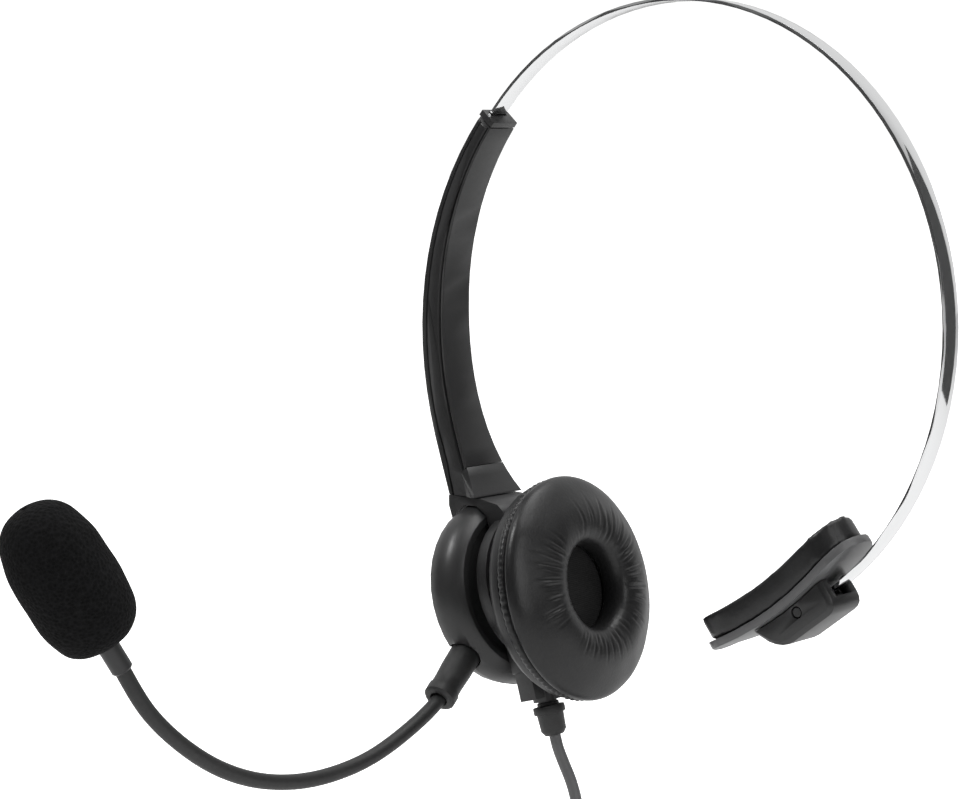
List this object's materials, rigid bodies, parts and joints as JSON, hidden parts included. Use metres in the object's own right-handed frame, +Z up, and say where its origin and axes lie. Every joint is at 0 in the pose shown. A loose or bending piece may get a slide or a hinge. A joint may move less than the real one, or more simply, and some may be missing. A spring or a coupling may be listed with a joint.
{
  "type": "office headset",
  "caption": "Single-ear office headset: sprung steel headband sliding in a curved arm, pivoting ear cup with leatherette cushion, rotating gooseneck microphone, hinged temple pad.",
  "frame": {"origin": "centre of the headband loop, which is the middle of the wearer's head", "axes": "+Z up to the crown of the head; +X from the ear cup to the temple pad; -Y the way the wearer looks, which is where the microphone boom reaches"},
  "size_m": [0.149, 0.1823, 0.2475],
  "materials": {
    "black_plastic": "black ABS with a fine satin grain",
    "satin_plastic": "black plastic, a little smoother",
    "rubber": "soft black TPE",
    "leatherette": "black leatherette with a light sheen",
    "foam": "open-cell foam, deep matte black",
    "cloth": "thin black acoustic cloth",
    "polished_steel": "mirror-polished spring steel",
    "spring_steel": "plain steel",
    "circuit_board": "green solder mask",
    "film": "clear amber film",
    "gold": "gold-plated contacts"
  },
  "bodies": {
    "arm": {"arm_outer_shell": "black_plastic", "arm_inner_cover": "satin_plastic", "arm_mouth_cap": "satin_plastic", "detent_spring": "spring_steel", "arm_screw": "spring_steel", "bracket": "black_plastic", "cup_ball_stud": "spring_steel", "turret_clip": "spring_steel", "turret_wave_washer": "spring_steel", "strain_relief": "rubber", "cord_lead": "rubber", "cord_coil": "rubber", "cord_tail": "rubber", "cord_tie": "rubber", "plug_relief": "rubber", "plug_body": "rubber", "plug_tip": "gold"},
    "band": {"headband_strip": "polished_steel", "strip_stop_shoe": "satin_plastic", "strip_stop_rivet": "spring_steel", "strip_end_block": "satin_plastic", "strip_end_rivet": "spring_steel"},
    "temple_pad": {"temple_cushion": "leatherette", "temple_plate": "satin_plastic", "temple_hub": "satin_plastic", "temple_pivot_pin": "spring_steel", "temple_hub_screw": "spring_steel"},
    "boom": {"turret_dome": "satin_plastic", "turret_cap": "black_plastic", "turret_base": "satin_plastic", "boom_boot": "rubber", "boom_tube": "rubber", "mic_collar": "satin_plastic", "mic_housing": "satin_plastic", "mic_capsule": "spring_steel", "mic_windscreen": "foam"},
    "cup_knuckle": {"cup_socket": "satin_plastic"},
    "earcup": {"cup_shell": "black_plastic", "cup_baffle": "black_plastic", "baffle_screw_1": "spring_steel", "baffle_screw_2": "spring_steel", "baffle_screw_3": "spring_steel", "speaker_basket": "spring_steel", "speaker_magnet": "spring_steel", "speaker_diaphragm": "film", "speaker_terminals": "circuit_board", "acoustic_cloth": "cloth", "ear_cushion_cover": "leatherette", "ear_cushion_foam": "foam"}
  },
  "joints": [
    {"name": "band_extension", "type": "hinge", "parent": "arm", "child": "band", "pos_m": [0, 0, 0], "axis": [0, 1, 0], "range_deg": [-8, 22]},
    {"name": "temple_pad_pivot", "type": "hinge", "parent": "band", "child": "temple_pad", "pos_m": [0.03894, 0, -0.06134], "axis": [0, 1, 0], "range_deg": [-7, 7]},
    {"name": "boom_rotation", "type": "hinge", "parent": "arm", "child": "boom", "pos_m": [-0.0464, 0, -0.0683], "axis": [0.9563, 0, 0.2924], "range_deg": [-85, 195]},
    {"name": "ear_cup_swivel", "type": "hinge", "parent": "arm", "child": "cup_knuckle", "pos_m": [-0.03677, -0.00051, -0.06825], "axis": [-0.2578, -0.0226, 0.9659], "range_deg": [-10, 2.5]},
    {"name": "ear_cup_tilt", "type": "hinge", "parent": "cup_knuckle", "child": "earcup", "pos_m": [-0.03677, -0.00051, -0.06825], "axis": [-0.0872, 0.9962, 0], "range_deg": [-6, 3.5]}
  ]
}
